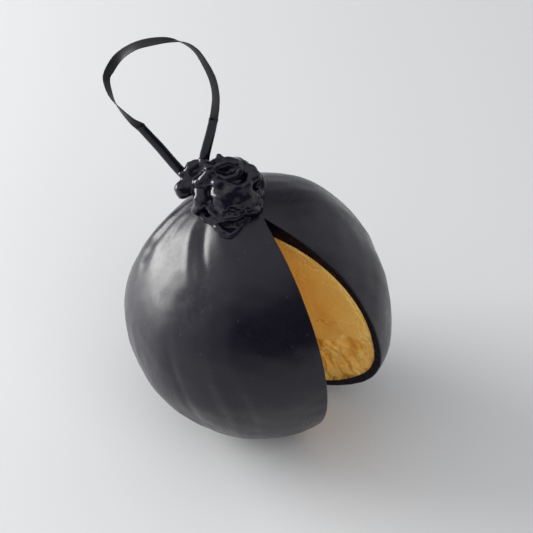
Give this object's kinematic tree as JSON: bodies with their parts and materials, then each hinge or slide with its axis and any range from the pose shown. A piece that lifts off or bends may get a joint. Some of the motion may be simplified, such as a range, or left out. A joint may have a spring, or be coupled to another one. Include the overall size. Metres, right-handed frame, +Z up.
{
  "type": "waxed ball of cheese",
  "caption": "Ball of cheddar in thick black wax, gathered in a knot with a ribbon loop, with one wedge cut out to show the golden cheese.",
  "frame": {"origin": "bottom centre of the waxed ball, on the surface it rests on", "axes": "+Z up, -Y the front, with the cut opening to the front right between -Y and +X"},
  "size_m": [0.0943, 0.09, 0.1472],
  "materials": {
    "black_wax": "satin black wax",
    "cheddar": "moist, finely crumbly golden cheese",
    "ribbon": "narrow black satin ribbon"
  },
  "bodies": {
    "root": {"wax_coat": "black_wax", "cheese": "cheddar", "ribbon_end_left": "black_wax", "ribbon_end_right": "black_wax", "ribbon": "ribbon"}
  },
  "joints": []
}
